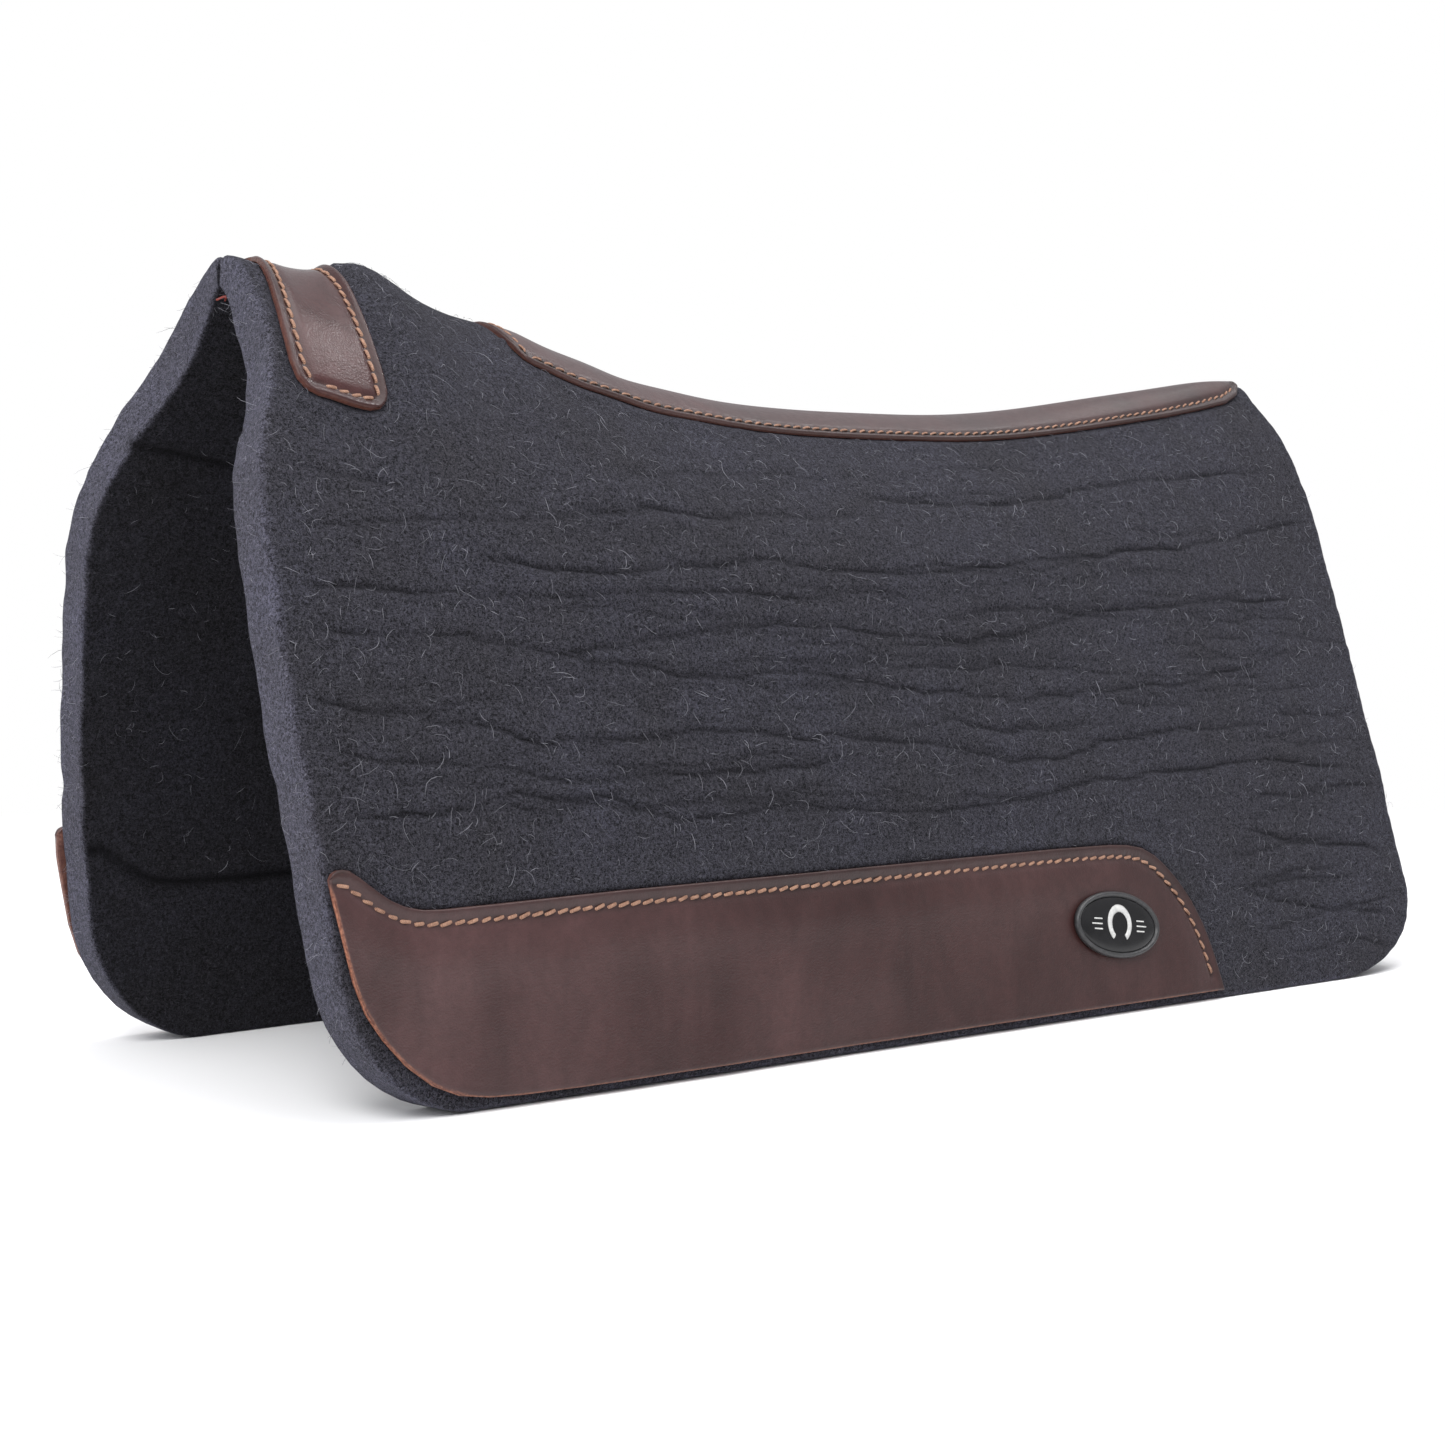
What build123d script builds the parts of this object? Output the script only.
from build123d import *
import os
import numpy as np

# Contoured western saddle pad: two thick wool felt halves joined along the spine,
# with a leather patch over the withers, a leather strip over the spine and a wear
# leather low on each side. Units are millimetres.
# Frame: +X towards the horse's rump, -X towards the withers, -Y the near (left)
# side, +Y the off (right) side, +Z up. The origin is in the symmetry plane, at the
# level of the bottom edges. One-sided pieces are built on the near side and mirrored.

# ------------------------------------------------------------------ dimensions
X_FRONT = -328.0        # front end of the ridge
X_REAR = 357.0          # rear end of the ridge
FELT_T = 24.0           # felt thickness, nominal one inch
FELT_T_SEAM = 14.0      # felt thickness where the halves are skived for the centre seam
SKIVE_S = 46.0          # arc length over which the skive runs out
SEAM_GAP = 0.6          # clearance between the two halves
LEATHER_T = 3.0
LIFT = 0.3              # clearance between leather and felt
STRIP_LIFT = 0.9        # the same under the spine strip
THREAD_LIFT = 0.5       # clearance between thread and leather
STITCH_W = 1.1          # width of a thread band
STITCH_H = 0.8          # height of a thread band

# Outer cross-section (half width, height), crest to below the bottom edge.
FRONT = [(0, 358.2), (20, 349), (40, 331), (62, 301), (79, 268), (91, 235), (101, 195),
         (108.5, 160), (115, 125), (120.5, 85), (124.5, 42), (127, 0), (128.3, -25)]
MID = [(0, 304), (18, 299), (36, 287.5), (55, 268.5), (68, 252), (78.35, 235), (90, 200),
       (100, 165), (109, 128), (118, 85), (126, 42), (133, 0), (137, -25)]
REAR = [(0, 336), (14, 325), (28, 311), (43, 290), (55, 264), (65.7, 235), (79, 196),
        (90.5, 162), (102, 125), (114.5, 85), (127.5, 42), (140, 0), (147.4, -25)]
# How far each section point follows the ridge.
FOLLOW = [1, 0.92, 0.74, 0.42, 0.16, 0, 0, 0, 0, 0, 0, 0, 0]
# Ridge line (x, z).
RIDGE = [(-400, 355), (-360, 357), (-328, 358.2), (-316, 356.8), (-304, 353), (-290, 351.3),
         (-279, 353.5), (-270, 358.3), (-262, 359.6), (-252, 356.5), (-242, 351.3),
         (-231, 345.6), (-221, 342), (-199, 337.6), (-181, 332.5), (-165, 327), (-141, 320.6),
         (-124, 315.6), (-93, 310.2), (-61, 306.2), (-22, 304), (12, 303.6), (47, 304),
         (90, 305), (152, 310.2), (217, 319.5), (286, 329.8), (331, 335.6), (357, 336.5),
         (400, 336.5)]


# ------------------------------------------------------------------ shape maths
def natural_spline(knots, values):
    """Natural cubic spline as a function, held constant beyond its end knots."""
    knots = np.asarray(knots, float)
    values = np.asarray(values, float)
    count = len(knots)
    step = np.diff(knots)
    matrix = np.zeros((count, count))
    rhs = np.zeros(count)
    matrix[0, 0] = matrix[-1, -1] = 1
    for i in range(1, count - 1):
        matrix[i, i - 1:i + 2] = step[i - 1], 2 * (step[i - 1] + step[i]), step[i]
        rhs[i] = 6 * ((values[i + 1] - values[i]) / step[i]
                      - (values[i] - values[i - 1]) / step[i - 1])
    bend = np.linalg.solve(matrix, rhs)     # second derivatives at the knots

    def evaluate(x):
        x = np.clip(np.asarray(x, float), knots[0], knots[-1])
        i = np.clip(np.searchsorted(knots, x) - 1, 0, count - 2)
        width = step[i]
        low, high = (knots[i + 1] - x) / width, (x - knots[i]) / width
        return (low * values[i] + high * values[i + 1]
                + ((low ** 3 - low) * bend[i] + (high ** 3 - high) * bend[i + 1])
                * width * width / 6)
    return evaluate


ridge_z = natural_spline(*zip(*RIDGE))


def along(front, mid, rear, x):
    """Quadratic in x through the values at the front, the middle and the rear."""
    u = (x - X_FRONT) / (X_REAR - X_FRONT)
    return front * (1 - u) * (1 - 2 * u) + 4 * mid * u * (1 - u) + rear * u * (2 * u - 1)


def profile(x):
    """Outer curve at x: functions w(s) and z(s) of arc length s from the crest, and s at the end."""
    ridge_rise = float(ridge_z(x)) - along(FRONT[0][1], MID[0][1], REAR[0][1], x)
    w = np.array([along(f[0], m[0], r[0], x) for f, m, r in zip(FRONT, MID, REAR)])
    z = np.array([along(f[1], m[1], r[1], x) + follow * ridge_rise
                  for f, m, r, follow in zip(FRONT, MID, REAR, FOLLOW)])
    w_full = np.concatenate([-w[:0:-1], w])
    z_full = np.concatenate([z[:0:-1], z])
    s = np.concatenate([[0], np.cumsum(np.hypot(np.diff(w_full), np.diff(z_full)))])
    s -= s[len(w) - 1]
    return natural_spline(s, w_full), natural_spline(s, z_full), float(s[-1])


def offset_point(w_at, z_at, s, distance):
    """(w, z) at arc length s, moved outwards by distance (inwards when negative)."""
    dw = float(w_at(s + 0.5) - w_at(s - 0.5))
    dz = float(z_at(s + 0.5) - z_at(s - 0.5))
    length = np.hypot(dw, dz)
    return float(w_at(s)) - dz / length * distance, float(z_at(s)) + dw / length * distance


def s_at_z(x, z):
    """Arc length at which the outer curve at x comes down to height z."""
    _, z_at, end = profile(x)
    s = np.linspace(2, end - 0.5, 900)
    return float(np.interp(-z, -z_at(s), s))


def surface_frame(x, s, lift, side):
    """Point and outward normal on the flank, raised by lift. Side -1 is near, 1 is off."""
    def point(px, ps):
        w_at, z_at, _ = profile(px)
        return np.array([px, float(w_at(ps)), float(z_at(ps))])
    along_x = point(x + 1, s) - point(x - 1, s)
    along_s = point(x, s + 1) - point(x, s - 1)
    normal = np.cross(along_x, along_s)
    normal /= np.linalg.norm(normal)
    to_side = np.array([1, side, 1])
    return (point(x, s) + normal * lift) * to_side, normal * to_side


# ------------------------------------------------------------------ shared builders
def section_wire(x, outer, inner):
    """Closed section at x between two (w, z) curves; positive w is on the near side."""
    outer = [Vector(x, -w, z) for w, z in outer]
    inner = [Vector(x, -w, z) for w, z in inner]
    return Wire([Edge.make_spline(outer), Edge.make_line(outer[-1], inner[-1]),
                 Edge.make_spline(inner[::-1]), Edge.make_line(inner[0], outer[0])])


def layer_section(x, s_start, s_stop, lift, thickness, count):
    """Section of a layer lying on the felt, lifted off it, between two arc lengths."""
    w_at, z_at, end = profile(x)
    s_values = np.linspace(s_start, min(s_stop, end), count)
    outer = [offset_point(w_at, z_at, s, lift + thickness) for s in s_values]
    inner = [offset_point(w_at, z_at, s, lift) for s in s_values]
    return section_wire(x, outer, inner)


def polygon_prism(points, direction):
    return Solid.extrude(Face(Wire.make_polygon(points, close=True)), Vector(*direction))


def plan_prism(points):
    """Upright prism on a plan outline (x, y), through the crest region."""
    return polygon_prism([Vector(x, y, 230) for x, y in points], (0, 0, 260))


def flank_prism(points):
    """Prism on a side outline (x, z), from the symmetry plane to the near side."""
    return polygon_prism([Vector(x, 0, z) for x, z in points], (0, -260, 0))


def both_sides(half_line):
    """Closed plan outline from a half line (x, y) that starts and ends on the spine."""
    return [(x, -y) for x, y in half_line] + [(x, y) for x, y in half_line[-2:0:-1]]


def shift_left(points, distance):
    """Points moved to the left of the path's direction."""
    path = np.array(points, float)
    tangent = np.gradient(path, axis=0)
    tangent /= np.linalg.norm(tangent, axis=1)[:, None]
    return path + np.stack([-tangent[:, 1], tangent[:, 0]], -1) * distance


def dense_path(points, step):
    """The path resampled evenly, at no more than step apart."""
    path = np.array(points, float)
    run = np.concatenate([[0], np.cumsum(np.linalg.norm(np.diff(path, axis=0), axis=1))])
    at = np.linspace(0, run[-1], int(run[-1] / step) + 2)
    return np.stack([np.interp(at, run, path[:, 0]), np.interp(at, run, path[:, 1])], -1)


def thread_band(line):
    """Outline of a thread along a line."""
    left = shift_left(line, STITCH_W / 2)
    right = shift_left(line, -STITCH_W / 2)
    return [tuple(p) for p in left] + [tuple(p) for p in right[::-1]]


def largest_solid(shape):
    return max(shape.solids(), key=lambda solid: solid.volume)


# ------------------------------------------------------------------ felt
FELT_STATIONS = [-372, -350, -328, -314, -302, -290, -279, -270, -261, -251, -240, -228,
                 -212, -190, -160, -120, -70, -10, 60, 130, 200, 270, 330, 372]

# Side outline of one half: swept-forward front edge (x, z), from the top down to
# the start of the rounded corner.
OUTLINE_TOP = 420
FRONT_EDGE = [(-327.7, OUTLINE_TOP), (-327.7, 372), (-327.8, 352), (-331.8, 318),
              (-339.5, 300), (-347, 284), (-353, 268), (-356.6, 250), (-357.5, 226),
              (-356.5, 192), (-355, 162), (-353, 132), (-350, 102), (-347, 78)]
FRONT_CORNER_L = 66     # length of the front bottom corner along the pad
REAR_CORNER_L = 78.0
REAR_CORNER_H = 46.0

HINGE_Z = 231.3         # height of the bend line between crown and flap
HINGE_Y_FRONT = 79.5    # half distance of the bend line at the front end of the ridge
HINGE_Y_REAR = 54.4     # the same at the rear end
HINGE_R = FELT_T / 2    # rounding of the flap's top end
HINGE_GAP = 1.4         # clearance between the flap's round end and the crown
HINGE_LEAN = 18.0       # lean of the panel from vertical at the bend line, degrees


def felt_section(x):
    w_at, z_at, end = profile(x)
    s_values = np.concatenate([[SEAM_GAP / 2], np.linspace(8, end, 24)])
    outer = [(float(w_at(s)), float(z_at(s))) for s in s_values]
    inner = []
    for s in s_values:
        u = min(s / SKIVE_S, 1.0)
        thickness = FELT_T_SEAM + (FELT_T - FELT_T_SEAM) * u * u * (3 - 2 * u)
        inner.append(offset_point(w_at, z_at, s, -thickness))
    # The seam face stands upright.
    inner[0] = (SEAM_GAP / 2, inner[0][1])
    return section_wire(x, outer, inner)


def outline_prism():
    """Side outline of one half, extruded over the near side."""
    corner_x, corner_z = FRONT_EDGE[-1]
    front_corner = [(corner_x + FRONT_CORNER_L * (1 - np.cos(a)), corner_z * (1 - np.sin(a)))
                    for a in np.radians([15, 30, 45, 60, 75, 90])]
    rear_corner = [(X_REAR - REAR_CORNER_L * (1 - np.cos(a)), REAR_CORNER_H * (1 - np.sin(a)))
                   for a in np.radians([90, 72, 54, 36, 18, 0])]
    front = [Vector(x, 0, z) for x, z in FRONT_EDGE + front_corner]
    rear = [Vector(x, 0, z) for x, z in rear_corner]
    bottom_front = Vector(front[-1].X, 0, 0)
    top_rear = Vector(X_REAR, 0, OUTLINE_TOP)
    outline = Wire([Edge.make_spline(front),
                    Edge.make_line(bottom_front, rear[0]),
                    Edge.make_spline(rear),
                    Edge.make_line(rear[-1], top_rear),
                    Edge.make_line(top_rear, front[0])])
    prism = Solid.extrude(Face(outline), Vector(0, -260, 0))
    # Guards against an inside-out solid.
    return -prism if prism.volume < 0 else prism


def felt_pieces():
    """Near crown and flap: one half, parted along the bend line."""
    half = Solid.make_loft([felt_section(x) for x in FELT_STATIONS]) & outline_prism()

    hinge_front = Vector(X_FRONT, -HINGE_Y_FRONT, HINGE_Z)
    hinge_rear = Vector(X_REAR, -HINGE_Y_REAR, HINGE_Z)
    hinge_dir = (hinge_rear - hinge_front).normalized()
    hinge_mid = (hinge_front + hinge_rear) * 0.5
    lean = np.radians(HINGE_LEAN)
    up = Vector(0, float(np.sin(lean)), float(np.cos(lean)))
    square_up = (up - hinge_dir * up.dot(hinge_dir)).normalized()
    hinge_plane = Plane(origin=hinge_mid, x_dir=hinge_dir, z_dir=square_up)

    def bar(radius):
        start = Plane(origin=hinge_mid - hinge_dir * 500, z_dir=hinge_dir)
        return Solid.make_cylinder(radius, 1000, start)

    above = hinge_plane.location * Box(1100, 600, 500,
                                       align=(Align.CENTER, Align.CENTER, Align.MIN))
    below = hinge_plane.location * Box(1100, 600, 600,
                                       align=(Align.CENTER, Align.CENTER, Align.MAX))
    crown = (half & above) - bar(HINGE_R + HINGE_GAP)
    flap = (half & below) + (half & bar(HINGE_R))
    return largest_solid(crown), largest_solid(flap)


# Centre seam: the thread row that closes the skived edges, under the crest.
SEAM_STATIONS = (-322, -300, -285, -270, -255, -235, -200, -150, -90, 0, 100, 200, 300, 352)
SEAM_THREAD_HALF_W = 1.0
SEAM_THREAD_H = 1.0
SEAM_THREAD_DROP = 9.6  # from the skived thickness below the ridge to the thread's top


def centre_seam():
    sections = []
    for x in SEAM_STATIONS:
        top = float(ridge_z(x)) - FELT_T_SEAM - SEAM_THREAD_DROP
        bottom = top - SEAM_THREAD_H
        corners = [(-SEAM_THREAD_HALF_W, top), (SEAM_THREAD_HALF_W, top),
                   (SEAM_THREAD_HALF_W, bottom), (-SEAM_THREAD_HALF_W, bottom)]
        sections.append(Wire.make_polygon([Vector(x, y, z) for y, z in corners], close=True))
    return Solid.make_loft(sections)


# ------------------------------------------------------------------ wither patch
PATCH_STATIONS = (-345, -334, -322, -311, -300, -290, -281, -273, -264, -256)
PATCH_BLANK_S = 118     # arc length of the blank each side of the crest
# Half plan outline (x, y): the front part outwards from the spine, the rear part back to it.
PATCH_FRONT = [(-313, 0), (-315.5, 12), (-317.4, 20), (-321.7, 34), (-325, 47), (-327, 57),
               (-326.6, 62), (-323.5, 65.3), (-318, 66.4)]
PATCH_REAR = [(-302, 66), (-290, 65.3), (-284.6, 63.2), (-282, 58), (-280.3, 46), (-278, 32),
              (-276, 20), (-275.2, 9.5), (-274.8, 0)]
PATCH_STITCH_W = 1.2
PATCH_STITCH_FRONT = 4.8    # from the front edge to the thread
PATCH_STITCH_REAR = 4.6     # from the rear edge to the thread
# Outer side corners of the thread ring (x, y).
PATCH_STITCH_FRONT_CORNER = (-320.6, 61.0)
PATCH_STITCH_REAR_CORNER = (-287.4, 60.6)


def patch_layer(lift, thickness):
    return Solid.make_loft([layer_section(x, -PATCH_BLANK_S, PATCH_BLANK_S, lift, thickness, 31)
                            for x in PATCH_STATIONS])


def wither_patch():
    return largest_solid(patch_layer(LIFT, LEATHER_T)
                         & plan_prism(both_sides(PATCH_FRONT + PATCH_REAR)))


def patch_ring(shrink):
    """Prism inside the patch edge, pulled in by shrink from the thread's outer side."""
    front_x, front_y = PATCH_STITCH_FRONT_CORNER
    rear_x, rear_y = PATCH_STITCH_REAR_CORNER
    half_line = ([(x + PATCH_STITCH_FRONT + shrink, y) for x, y in PATCH_FRONT[:6]]
                 + [(front_x + shrink, front_y - shrink), (rear_x - shrink, rear_y - shrink)]
                 + [(x - PATCH_STITCH_REAR - shrink, y) for x, y in PATCH_REAR[3:]])
    return plan_prism(both_sides(half_line))


def patch_stitching():
    """One thread all round the patch, inside its edge."""
    layer = patch_layer(LIFT + LEATHER_T + THREAD_LIFT, STITCH_H)
    return largest_solid((layer & patch_ring(0)) - patch_ring(PATCH_STITCH_W))


# ------------------------------------------------------------------ spine strip
STRIP_STATIONS = (-222, -206, -190, -172, -155, -138, -120, -95, -60, -20, 30, 80, 140,
                  200, 260, 310, 340, 362)
STRIP_BLANK_S = 60      # arc length from the crest to the blank's edge
STRIP_STITCH_INSET = 4.6
# Edge of the strip (x, distance along the surface from the crest).
STRIP_EDGE = [(-203, 0), (-200, 14), (-196, 28), (-192.5, 37.5), (-188, 40.3), (-175, 41.2),
              (-160, 41.8), (-143, 41.6), (-120, 40.5), (-91, 38.8), (-60, 37.4), (-30, 36.3),
              (0, 35.3), (52, 33.9), (105, 31.9), (152, 29.8), (206, 27.9), (263, 25.4),
              (300, 22.8), (325, 19.6), (340, 14.0), (348, 7.0), (351, 0)]


def plan_y(x, s):
    """Half width in plan at arc length s, half a leather thickness above LIFT."""
    w_at, z_at, _ = profile(x)
    return offset_point(w_at, z_at, s, LIFT + LEATHER_T / 2)[0]


def strip_layer(s_start, lift, thickness, count):
    return Solid.make_loft([layer_section(x, s_start, STRIP_BLANK_S, lift, thickness, count)
                            for x in STRIP_STATIONS])


def spine_strip():
    outline = both_sides([(x, plan_y(x, s)) for x, s in STRIP_EDGE])
    return largest_solid(strip_layer(-STRIP_BLANK_S, STRIP_LIFT, LEATHER_T, 21)
                         & plan_prism(outline))


def strip_stitching():
    line = [(x, -plan_y(x, s - STRIP_STITCH_INSET)) for x, s in STRIP_EDGE if -193 < x < 342]
    layer = strip_layer(2, STRIP_LIFT + LEATHER_T + THREAD_LIFT, STITCH_H, 13)
    return largest_solid(layer & plan_prism(thread_band(line)))


# ------------------------------------------------------------------ wear leather
WEAR_STATIONS = (-366, -335, -300, -250, -180, -100, -20, 60, 130, 170, 200)
WEAR_BLANK_TOP_Z = 128
WEAR_STITCH_INSET = 6.0
WEAR_STITCH_MIN_Z = 9   # the thread's centre line stays above this height
# Side outline (x, z): along the top and down the rear end, then forward along the
# bottom and up the front end.
WEAR_TOP = [(-347.2, 99.5), (-345.5, 102.2), (-342.5, 103.4), (-338.5, 102.6), (-333, 99),
            (-327, 94.2), (-320.5, 89.6), (-313, 86.2), (-305, 84.4), (-295, 83.9), (-270, 84),
            (-203, 84.6), (-111, 84.3), (-9, 84.2), (70, 84), (110, 83.4), (124, 82.4),
            (135, 80.2), (144, 75.6), (152, 69), (159.5, 60.8), (166.5, 50.8), (172.5, 38.6),
            (176.3, 27), (179.2, 14), (180.6, 4.0)]
WEAR_BOTTOM = [(120, 4.0), (0, 4.0), (-160, 4.0), (-230, 4.1), (-262, 4.6), (-278, 5.6),
               (-292, 8.0), (-304, 13.2), (-316, 22.4), (-326, 33.6), (-333.5, 44.6),
               (-338.5, 57.5), (-342.5, 74), (-345.7, 89)]


def wear_layer(lift, thickness):
    """Layer from the blank's top down to the end of the profile."""
    return Solid.make_loft([layer_section(x, s_at_z(x, WEAR_BLANK_TOP_Z), np.inf,
                                          lift, thickness, 16)
                            for x in WEAR_STATIONS])


def wear_leather():
    return largest_solid(wear_layer(LIFT, LEATHER_T) & flank_prism(WEAR_TOP + WEAR_BOTTOM))


def wear_stitching():
    line = shift_left(dense_path(WEAR_TOP[2:-1], 7.0), -WEAR_STITCH_INSET)
    line = line[line[:, 1] > WEAR_STITCH_MIN_Z]
    layer = wear_layer(LIFT + LEATHER_T + THREAD_LIFT, STITCH_H)
    return largest_solid(layer & flank_prism(thread_band(line)))


# ------------------------------------------------------------------ badge
BADGE_X, BADGE_Z = 105.0, 43.5
BADGE_A, BADGE_B = 30.5, 17.0   # half axes of the oval badge
BADGE_TILT = 8.0                # degrees, rear end of the oval lower
BADGE_LIFT = 0.75               # clearance between badge and leather
RIM_H = 2.6
RIM_WALL = 2.6
RIM_FLOOR = 1.0
FACE_T = 0.9
FACE_SIDE_GAP = 0.2             # clearance between face and rim wall
STACK_GAP = 0.1                 # clearance between the badge's layers
EMBLEM_T = 0.7


def oval(inset, height):
    return extrude(Ellipse(BADGE_A - inset, BADGE_B - inset), height)


def badge(side):
    """Rim, face and emblem of the badge on one side."""
    point, normal = surface_frame(BADGE_X, s_at_z(BADGE_X, BADGE_Z),
                                  LIFT + LEATHER_T + BADGE_LIFT, side)
    tilt = np.radians(BADGE_TILT)
    x_dir = np.array([np.cos(tilt), 0, -np.sin(tilt)])
    x_dir = x_dir - normal * x_dir.dot(normal)
    x_dir /= np.linalg.norm(x_dir)
    place = Plane(origin=Vector(*point), x_dir=Vector(*x_dir), z_dir=Vector(*normal)).location

    face_z = RIM_FLOOR + STACK_GAP
    rim = oval(0, RIM_H) - Pos(0, 0, RIM_FLOOR) * oval(RIM_WALL, 3)
    face = Pos(0, 0, face_z) * oval(RIM_WALL + FACE_SIDE_GAP, FACE_T)
    # Plain horseshoe: an oval ring, open at the bottom.
    shoe = (extrude(Ellipse(8.2, 9.4), EMBLEM_T) - extrude(Ellipse(5.0, 6.4), EMBLEM_T)
            - Pos(0, -8.4, 0) * extrude(Rectangle(8.4, 8.0), EMBLEM_T))
    shoe = Pos(0, 0.6, face_z + FACE_T + STACK_GAP) * shoe
    return place * rim, place * face, place * shoe


# ------------------------------------------------------------------ export
crown, flap = felt_pieces()

nodes = {
    "centre_seam_thread": centre_seam(),
    "wither_patch": wither_patch(),
    "wither_patch_stitching": patch_stitching(),
    "spine_strip": spine_strip(),
}
near_pieces = {
    "felt_crown": crown,
    "felt_flap": flap,
    "spine_strip_stitching": strip_stitching(),
    "wear_leather": wear_leather(),
    "wear_leather_stitching": wear_stitching(),
}
for name, shape in near_pieces.items():
    nodes[name + "_left"] = shape
    nodes[name + "_right"] = mirror(shape, about=Plane.XZ)
for side_name, side in (("left", -1), ("right", 1)):
    for part_name, shape in zip(("rim", "face", "emblem"), badge(side)):
        nodes[f"badge_{part_name}_{side_name}"] = shape

os.makedirs("parts", exist_ok=True)
for name, shape in nodes.items():
    export_step(shape, "parts/" + name + ".step")
